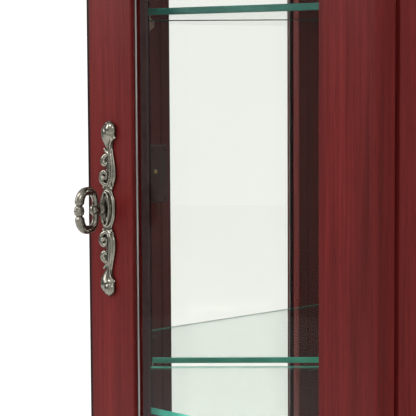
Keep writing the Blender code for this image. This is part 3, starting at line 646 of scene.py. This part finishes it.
def add_glazing_bead():
    """The clear vinyl bead that shows between the door's wood and its glass: a ring of round section."""
    low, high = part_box("glazing_channel")
    inset = BEAD_INSET
    corners = [(low.x + inset, low.z + inset), (high.x - inset, low.z + inset)]
    corners += [(high.x - inset, high.z - inset), (low.x + inset, high.z - inset)]
    bm = bmesh.new()
    rings = []
    for (x, z), (dx, dz) in zip(corners, ((1, 1), (-1, 1), (-1, -1), (1, -1))):
        ring = []
        for angle in circle_angles(BEAD_SIDES):
            shift = BEAD_RADIUS * math.cos(angle)
            y = low.y + BEAD_DEPTH + BEAD_RADIUS * math.sin(angle)
            ring.append(bm.verts.new((x + dx * shift, y, z + dz * shift)))
        rings.append(ring)
    for first, second in zip(rings, rings[1:] + rings[:1]):
        bridge(bm, first, second)
    bmesh.ops.recalc_face_normals(bm, faces=bm.faces)
    mesh = mesh_of(bm, "glazing_bead")
    mesh.shade_smooth()
    mesh.set_sharp_from_angle(angle=math.radians(50))
    piece = new_piece("glazing_bead", mesh, "door", [VINYL])
    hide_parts("glazing_channel")


def finish_small_parts():
    for node in frame["nodes"]:
        if node.startswith("clip_"):
            rounded(node, CLIP_EDGE, [BRONZE], 3)
        elif "hinge_" in node and ("leaf" in node or "pin" in node):
            rounded(node, HINGE_EDGE, [BRASS], 2, 50)
    rounded("strike_plate", STRIKE_EDGE, [BRASS], 2)
    rounded("lock_bolt", BOLT_EDGE, [BRASS], 2)
    rounded("lock_case", LOCK_CASE_EDGE, [STEEL], 3)


# ---- cast and turned shapes ----


def add_ellipsoid(bm, centre, radii, detail=3):
    """An ellipsoid by its radii across, out of the plate and up. Millimetres."""
    matrix = Matrix.Translation(centre) @ Matrix.Diagonal((*radii, 1))
    bmesh.ops.create_icosphere(bm, subdivisions=detail, radius=1, matrix=matrix)


def add_closed_tube(bm, points, radii, sides, guide=(0, 1, 0)):
    """A round tube through points and back to the first, with a radius at each.

    The guide is the normal of the points' plane.
    """
    points = [Vector(p) for p in points]
    guide = Vector(guide)
    rings = []
    for i, point in enumerate(points):
        along = (points[(i + 1) % len(points)] - points[i - 1]).normalized()
        side = along.cross(guide)
        side.normalize()
        other = along.cross(side)
        ring = []
        for angle in circle_angles(sides):
            offset = side * math.cos(angle) + other * math.sin(angle)
            ring.append(bm.verts.new(point + offset * radii[i]))
        rings.append(ring)
    for first, second in zip(rings, rings[1:] + rings[:1]):
        bridge(bm, first, second)


def curve_points(knots, steps):
    """A smooth curve through knots, by Catmull-Rom spans."""
    knots = [Vector(k) for k in knots]
    padded = [2 * knots[0] - knots[1]] + knots + [2 * knots[-1] - knots[-2]]
    points = []
    for a, b, c, d in zip(padded, padded[1:], padded[2:], padded[3:]):
        for i in range(steps):
            t = i / steps
            points.append(
                0.5 * (2 * b + (c - a) * t + (2 * a - 5 * b + 4 * c - d) * t * t
                       + (3 * b - a - 3 * c + d) * t ** 3)
            )
    return points + [knots[-1]]


# the keyhole and the recess about it, in millimetres
KEYHOLE_RADIUS = 2.6
CUT_THROUGH = 24
BIT_SLOT_WIDTH, BIT_SLOT_HEIGHT, BIT_SLOT_Z = 2.4, 5.6, -3.0
RECESS_CENTRE, RECESS_RADII = (0, -4.9, 0), (2.9, 3.5, 11.0)


def add_object_at_lock(name, bm):
    """A working object from a shape in millimetres about the key axis."""
    mesh = mesh_of(bm, name)
    mesh.transform(AT_LOCK)
    return add_object(name, mesh)


def cast(name, bm, voxel, smoothing, cutters=()):
    """Fuses overlapping shapes, in millimetres, into one cast skin, and cuts openings in it."""
    bmesh.ops.recalc_face_normals(bm, faces=bm.faces)
    work = add_object_at_lock(name, bm)
    remesh = work.modifiers.new("fuse", "REMESH")
    remesh.mode = "VOXEL"
    remesh.voxel_size = voxel * MM
    soften = work.modifiers.new("soften", "SMOOTH")
    soften.factor = 0.5
    soften.iterations = smoothing
    for cutter in cutters:
        add_cut(work, cutter)
    made = applied(work, name)
    for cutter in cutters:
        bpy.data.objects.remove(cutter)
    made.shade_smooth()
    return made


def keyhole_cutters():
    """A lens-shaped recess in the boss, and a round hole over a slot for the bit through the plate."""
    bm = bmesh.new()
    turn = Matrix.Rotation(math.pi / 2, 4, "X")
    radius = KEYHOLE_RADIUS
    bmesh.ops.create_cone(
        bm, cap_ends=True, segments=32, radius1=radius, radius2=radius, depth=CUT_THROUGH, matrix=turn)
    hole = add_object_at_lock("keyhole", bm)
    bm = bmesh.new()
    place = Matrix.Translation((0, 0, BIT_SLOT_Z))
    size = Matrix.Diagonal((BIT_SLOT_WIDTH, CUT_THROUGH, BIT_SLOT_HEIGHT, 1))
    bmesh.ops.create_cube(bm, size=1, matrix=place @ size)
    slot = add_object_at_lock("slot", bm)
    bm = bmesh.new()
    add_ellipsoid(bm, RECESS_CENTRE, RECESS_RADII, 4)
    recess = add_object_at_lock("recess", bm)
    return [recess, hole, slot]


LEAF_STEPS = 6  # per span of its route
LEAF_SIDES = 20
LEAF_LEAST = 0.2  # narrowest half width, mm


def add_leaf(bm, route, flat, up):
    """A leaf or scroll of oval section along a route of x, out, z and half width."""
    places = curve_points([(x, -out, up * z) for x, out, z, _ in route], LEAF_STEPS)
    widths = [w.x for w in curve_points([(width, 0, 0) for _, _, _, width in route], LEAF_STEPS)]
    widths = [max(width, LEAF_LEAST) for width in widths]
    rings = []
    for i, place in enumerate(places):
        ahead, behind = places[min(i + 1, len(places) - 1)], places[max(i - 1, 0)]
        along = Vector((ahead.x - behind.x, 0, ahead.z - behind.z)).normalized()
        side = Vector((along.z, 0, -along.x))
        ring = []
        for angle in circle_angles(LEAF_SIDES):
            offset = side * math.cos(angle) + Vector((0, -flat * math.sin(angle), 0))
            ring.append(bm.verts.new(place + offset * widths[i]))
        rings.append(ring)
    for first, second in zip(rings, rings[1:]):
        bridge(bm, first, second)
    bm.faces.new(rings[0][::-1])
    bm.faces.new(rings[-1])
    for place, width in ((places[0], widths[0]), (places[-1], widths[-1])):
        add_ellipsoid(bm, place, (width, width * flat, width), 2)


def add_escutcheon_half(bm, up):
    """One half of the relief: a spoon-like leaf on a fluted stem, a knob, a lobe, a volute and beads."""

    def at(x, out, z):
        return (x, -out, up * z)

    # the leaf, its swollen tip and the tongue that curls out of its side
    leaf = [(1.9, 1.0, 59.6, 2.6), (1.3, 1.2, 57.0, 6.0), (1.0, 1.3, 53.8, 7.2), (0.4, 1.3, 50.6, 6.2)]
    leaf += [(0.9, 1.3, 47.2, 4.3), (2.0, 1.3, 43.8, 3.0), (3.2, 1.3, 40.2, 2.5)]
    add_leaf(bm, leaf, 0.48, up)
    add_ellipsoid(bm, at(3.4, 1.7, 56.0), (5.2, 3.4, 5.4), 4)
    add_ellipsoid(bm, at(1.2, 1.5, 54.0), (5.0, 2.5, 6.6), 4)
    tongue = [(8.0, 1.5, 50.6, 0.9), (6.6, 2.0, 50.2, 1.15), (5.0, 2.3, 48.4, 1.15), (4.0, 2.4, 45.8, 1.0)]
    add_leaf(bm, tongue + [(3.9, 2.3, 42.6, 0.8), (4.4, 2.2, 38.6, 0.6)], 0.9, up)

    # the fluted stem, from the leaf's neck to the shoulder of the boss
    stem = [(3.2, 1.2, 41.6, 2.4), (4.5, 1.3, 36.0, 2.4), (5.4, 1.4, 30.6, 2.9), (5.6, 1.5, 25.4, 3.4)]
    stem += [(5.0, 1.5, 21.4, 3.4), (3.6, 1.4, 18.4, 2.6), (1.4, 1.3, 16.9, 1.5), (-1.2, 1.3, 16.9, 1.3)]
    add_leaf(bm, stem, 0.50, up)
    for shift, width in ((-1.5, 0.75), (0.6, 0.8)):
        rib = [(3.0 + shift * 0.6, 2.3, 43.0, 0.5), (4.4 + shift * 0.8, 2.5, 36.0, width)]
        rib += [(5.5 + shift, 2.8, 29.0, width), (5.6 + shift, 3.0, 23.4, width)]
        rib += [(4.6 + shift, 2.8, 19.8, width), (2.8 + shift, 2.3, 17.6, 0.6)]
        add_leaf(bm, rib, 0.9, up)

    # the knob, the lobe over the open eye, and the volute with its ball
    knob = [(2.6, 1.6, 37.8, 1.3), (0.4, 1.8, 39.4, 1.2), (-1.4, 2.0, 41.0, 1.0), (-2.4, 2.0, 42.2, 0.9)]
    add_leaf(bm, knob, 0.9, up)
    lobe = [(2.4, 1.6, 38.2, 1.0), (0.2, 1.9, 38.0, 1.2), (-2.2, 2.0, 36.8, 1.8), (-3.8, 2.0, 34.6, 2.2)]
    add_leaf(bm, lobe + [(-3.4, 2.1, 32.4, 2.2), (-1.6, 2.2, 31.2, 1.7), (0.0, 2.0, 32.0, 1.1)], 0.8, up)
    volute = [(0.4, 1.5, 17.1, 1.4), (-2.2, 1.8, 17.2, 1.6), (-4.4, 2.1, 18.8, 1.9), (-5.4, 2.3, 21.2, 2.0)]
    volute += [(-4.8, 2.5, 24.0, 1.9), (-2.6, 2.5, 26.0, 1.6), (-0.4, 2.3, 25.2, 1.3)]
    add_leaf(bm, volute + [(0.4, 2.2, 23.0, 1.1), (-0.6, 2.3, 21.2, 1.1)], 0.85, up)
    add_ellipsoid(bm, at(-2.2, 2.9, 21.8), (1.8, 2.0, 1.9))
    for x, out, z, r in ((5.0, 1.7, 15.0, 1.35), (-3.4, 1.5, 15.0, 1.1)):
        add_ellipsoid(bm, at(x, out, z), (r, r * 1.1, r))


ESCUTCHEON_LEAN = 1.1  # degrees out of upright, as in the photo
ESCUTCHEON_FRONT, ESCUTCHEON_BACK = 1.5, 0.15  # the flat plate's faces, out from the door, mm
BOSS_RADII = (7.7, 3.6, 14.0)
BOSS_RINGS = ((6.3, 12.7, 1.6, 1.10), (3.7, 11.8, 3.5, 0.80))  # half width, half height, out, tube radius
ESCUTCHEON_VOXEL, ESCUTCHEON_SMOOTHING = 0.24, 3
ESCUTCHEON_EDGE = [
    (7.8, 0), (7.1, 7.0), (4.4, 12.9), (5.6, 15.2), (7.2, 18.6), (8.4, 23.5), (7.8, 30), (6.4, 36),
    (5.2, 42), (5.2, 46.5), (7.6, 49.8), (6.6, 51.6), (8.2, 54.4), (8.2, 57.4), (5.6, 60.4), (2.2, 61.6),
    (-2.2, 60.4), (-5.2, 57.0), (-5.8, 52.6), (-3.6, 47), (-0.8, 43.6), (-2.6, 41.8), (-1.4, 39.4),
    (-4.6, 37.0), (-5.4, 33.6), (-3.8, 30.8), (-1.0, 29.4), (-1.0, 28.0), (-5.2, 25.4), (-6.4, 20.8),
    (-4.6, 17.4), (-3.8, 15.3), (-4.2, 13.0), (-7.1, 7.0), (-7.8, 0),
]


def add_escutcheon():
    bm = bmesh.new()
    lower = [(x, -z) for x, z in reversed(ESCUTCHEON_EDGE[1:-1])]
    smooth_edge = curve_points([(x, 0, z) for x, z in ESCUTCHEON_EDGE + lower + [ESCUTCHEON_EDGE[0]]], 3)
    front = [bm.verts.new((p.x, -ESCUTCHEON_FRONT, p.z)) for p in smooth_edge[:-1]]
    back = [bm.verts.new((p.x, -ESCUTCHEON_BACK, p.z)) for p in smooth_edge[:-1]]
    bm.faces.new(front)
    bm.faces.new(back[::-1])
    for i in range(len(front)):
        n = (i + 1) % len(front)
        bm.faces.new((front[i], back[i], back[n], front[n]))
    for up in (1, -1):
        add_escutcheon_half(bm, up)
    # the boss: a stepped oval dome with a lens-shaped recess for the keyhole
    add_ellipsoid(bm, (0, 0, 0), BOSS_RADII, 4)
    for across, high, out, width in BOSS_RINGS:
        ring = [(across * math.cos(angle), -out, high * math.sin(angle)) for angle in circle_angles(64)]
        add_closed_tube(bm, ring, [width] * len(ring), 12)
    lean = Matrix.Rotation(math.radians(ESCUTCHEON_LEAN), 4, "Y")
    bmesh.ops.transform(bm, matrix=lean, verts=bm.verts)
    mesh = cast("escutcheon_cast", bm, ESCUTCHEON_VOXEL, ESCUTCHEON_SMOOTHING, keyhole_cutters())
    piece = new_piece("escutcheon_cast", mesh, "door", [PEWTER])
    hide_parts("escutcheon")


TURNED_SIDES = 40


def add_turned(bm, profile):
    """A turned shape about the key's axis, from radius and distance into the door. Millimetres."""
    rings = []
    for radius, depth in profile:
        ring = [(radius * math.cos(a), depth, radius * math.sin(a)) for a in circle_angles(TURNED_SIDES)]
        rings.append([bm.verts.new(place) for place in ring])
    for first, second in zip(rings, rings[1:]):
        for k in range(TURNED_SIDES):
            n = (k + 1) % TURNED_SIDES
            bm.faces.new((first[k], second[k], second[n], first[n]))
    bm.faces.new(rings[0])
    bm.faces.new(rings[-1][::-1])


# the key, in millimetres about its axis; y grows into the door
BOW_NEAR, BOW_FAR, BOW_TALL = -11.7, -27.1, 13.5
BOW_SQUARENESS = 2.6  # exponent of the bow's superellipse
BOW_TUBE = 3.00
BOW_BALL_RADII = (3.5, 3.8, 3.3)
SHANK = [  # radius and distance into the door: a pin in the bow, a belled collar and the round shank
    (0.4, -16.4), (2.2, -16.1), (3.1, -15.2), (3.5, -13.6), (3.4, -12.0), (3.3, -10.8), (3.5, -9.8),
    (4.0, -8.8), (4.4, -7.9), (4.5, -7.2), (4.3, -6.7), (3.4, -6.3), (2.4, -6.1), (2.3, 21.4), (1.8, 22.0),
]
BIT_CENTRE, BIT_SIZE = (0, 20.1, -3.2), (2.0, 3.2, 4.4)
KEY_VOXEL, KEY_SMOOTHING = 0.22, 4


def add_key():
    """An oval bow with a bead on it, a belled collar, a round shank and a bit."""
    bm = bmesh.new()
    middle, reach = (BOW_NEAR + BOW_FAR) / 2, (BOW_NEAR - BOW_FAR) / 2
    ring, widths = [], []
    for angle in circle_angles(96):
        across, along = math.cos(angle), math.sin(angle)
        square = (abs(across) ** BOW_SQUARENESS + abs(along) ** BOW_SQUARENESS) ** (-1 / BOW_SQUARENESS)
        dent = 0.9 * math.exp(-((along / 0.34) ** 2)) * (1 if across > 0 else 0)
        ring.append((0, middle + (reach * across - dent) * square, BOW_TALL * along * square))
        waist = math.exp(-(((abs(along) - 0.27) / 0.06) ** 2))
        side = 1 - abs(along) ** 3
        widths.append(BOW_TUBE + (0.45 - 1.50 * waist if across < 0 else -0.75) * side)
    add_closed_tube(bm, ring, widths, 20, guide=(1, 0, 0))
    add_ellipsoid(bm, (0, BOW_FAR, 0), BOW_BALL_RADII, 4)
    add_turned(bm, SHANK)
    bit = Matrix.Translation(BIT_CENTRE) @ Matrix.Diagonal((*BIT_SIZE, 1))
    bmesh.ops.create_cube(bm, size=1, matrix=bit)
    mesh = cast("key_cast", bm, KEY_VOXEL, KEY_SMOOTHING)
    piece = new_piece("key_cast", mesh, "key", [KEY_METAL])
    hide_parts("key")


# ---- screws, rivets and nails ----


HEAD_STEPS, HEAD_SIDES = 5, 24


def screw_mesh(name, radius, height, slot_angle):
    """A domed head, with a slot unless its angle is None. It lies in XY, towards +Z. Millimetres."""
    bm = bmesh.new()
    profile = [(radius, 0)]
    for i in range(1, HEAD_STEPS + 1):
        angle = math.pi / 2 * i / HEAD_STEPS
        across = math.cos(angle) if i < HEAD_STEPS else 0.12  # a small flat on top
        profile.append((radius * across, height * math.sin(angle)))
    rings = []
    for r, z in profile:
        rings.append([bm.verts.new((r * math.cos(a), r * math.sin(a), z)) for a in circle_angles(HEAD_SIDES)])
    for first, second in zip(rings, rings[1:]):
        bridge(bm, first, second)
    bm.faces.new(rings[0][::-1])
    bm.faces.new(rings[-1])
    mesh = mesh_of(bm, name)
    if slot_angle is None:
        mesh.shade_smooth()
        return mesh
    work = add_object(name, mesh)
    bm = bmesh.new()
    place = Matrix.Rotation(slot_angle, 4, "Z") @ Matrix.Translation((0, 0, height * 0.95))
    size = Matrix.Diagonal((radius * 2.2, radius * 0.28, height * 0.9, 1))
    bmesh.ops.create_cube(bm, size=1, matrix=place @ size)
    cutter = add_object("slot", mesh_of(bm, "slot"))
    add_cut(work, cutter)
    made = applied(work, name)
    bpy.data.objects.remove(cutter)
    made.shade_smooth()
    made.set_sharp_from_angle(angle=math.radians(35))
    return made


def add_heads(name, body, material, outwards, places, radius, height, angles):
    """Screw, rivet or nail heads on one face, in one piece. Places are in metres, sizes in millimetres."""
    turn = Vector(outwards).to_track_quat("Z", "Y").to_matrix().to_4x4()
    bm = bmesh.new()
    for i, place in enumerate(places):
        head = screw_mesh(f"{name}_{i}", radius, height, angles[i % len(angles)])
        head.transform(Matrix.Translation(place) @ turn @ MILLIMETRES)
        bm.from_mesh(head)
        bpy.data.meshes.remove(head)
    new_piece(name, mesh_of(bm, name), body, [material])


# on the back of the lock case, from the key axis, mm
RIVETS = ((-3.8, -17.5), (0.8, -17.5), (-3.8, -24.0), (0.8, -24.0))
STUD = (-2, 2.3)
LOCK_SCREW_INSET_X, LOCK_SCREW_INSET_Z = 3.0 * MM, 3.4 * MM

HINGE_SCREW_INSET = 5.5 * MM  # from the leaf's left edge
HINGE_SCREW_HEIGHTS = (-18, 0, 18)  # mm from the leaf's middle
DOOR_LEAF_FACE, CASE_LEAF_FACE = 0.01935, 0.01965  # screw heads' seats behind the door's face

STRIKE_SCREW_HEIGHTS = (-14, 14)  # mm from the plate's middle
STRIKE_SCREW_OUT = 0.65

BOARD_THICKNESS = 6 * MM
NAIL_ROWS = (0.035, 0.965)  # share of the board's width
NAILS_PER_ROW = 11
NAIL_INSET = 0.04  # top and bottom nails from the board's ends


def add_lock_heads():
    low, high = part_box("lock_case")
    back = (0, 1, 0)
    xs = (low.x + LOCK_SCREW_INSET_X, high.x - LOCK_SCREW_INSET_X)
    zs = (low.z + LOCK_SCREW_INSET_Z, high.z - LOCK_SCREW_INSET_Z)
    corners = [Vector((x, high.y, z)) for x in xs for z in zs]
    add_heads("lock_case_screws", "door", STEEL, back, corners, 1.9, 0.8, (0.4, 1.3, 2.2, 0.9))
    rivets = [LOCK + Vector((x * MM, high.y - LOCK.y, z * MM)) for x, z in RIVETS]
    add_heads("lock_case_rivets", "door", STEEL, back, rivets, 0.9, 0.5, (None,))
    stud = [LOCK + Vector((STUD[0] * MM, high.y - LOCK.y, STUD[1] * MM))]
    add_heads("lock_case_stud", "door", BRASS, back, stud, 2.0, 0.9, (None,))


def add_hinge_screws():
    turns = (0.3, 1.1, 2.0)
    for level in ("lower", "upper"):
        for kind, body, sign, seat in (
            ("door_leaf", "door", 1, DOOR_LEAF_FACE), ("case_leaf", "case", -1, CASE_LEAF_FACE),
        ):
            low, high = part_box(f"{level}_hinge_{kind}")
            x, y, middle = low.x + HINGE_SCREW_INSET, LOCK.y + seat, (low + high) / 2
            places = [Vector((x, y, middle.z + z * MM)) for z in HINGE_SCREW_HEIGHTS]
            name = f"{level}_hinge_{kind}_screws"
            add_heads(name, body, BRASS, (0, sign, 0), places, 2.4, 0.12, turns)


def add_strike_screws():
    low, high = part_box("strike_plate")
    centre = (low + high) / 2
    inwards = Vector((HALF, HALF, 0))
    places = [centre + inwards * STRIKE_SCREW_OUT * MM + Vector((0, 0, z * MM)) for z in STRIKE_SCREW_HEIGHTS]
    add_heads("strike_plate_screws", "case", BRASS, inwards, places, 2.0, 0.35, (0.6, 1.9))


def add_back_nails():
    for word, side in (("left", -1), ("right", 1)):
        low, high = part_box(f"{word}_back_board")
        outwards = Vector((side * HALF, HALF, 0))
        # the outer face's two vertical edges, as the box of a 45 degree board gives them
        thick = BOARD_THICKNESS * HALF
        start = Vector((low.x if side < 0 else high.x, low.y, 0)) + Vector((0, thick, 0))
        end = Vector((high.x if side < 0 else low.x, high.y, 0)) + Vector((side * thick, 0, 0))
        rise = high.z - low.z - 2 * NAIL_INSET
        places = []
        for share in NAIL_ROWS:
            foot = start.lerp(end, share)
            for i in range(NAILS_PER_ROW):
                places.append(Vector((foot.x, foot.y, low.z + NAIL_INSET + i * rise / (NAILS_PER_ROW - 1))))
        add_heads(f"{word}_back_nails", "case", STEEL, outwards, places, 2.2, 0.28, (None,))


def add_fasteners():
    add_lock_heads()
    add_hinge_screws()
    add_strike_screws()
    add_back_nails()


def main():
    bpy.context.scene.view_settings.view_transform = "Standard"
    add_camera()
    add_studio()
    finish_wood()
    finish_glass()
    finish_small_parts()
    add_escutcheon()
    add_key()
    add_fasteners()


main()
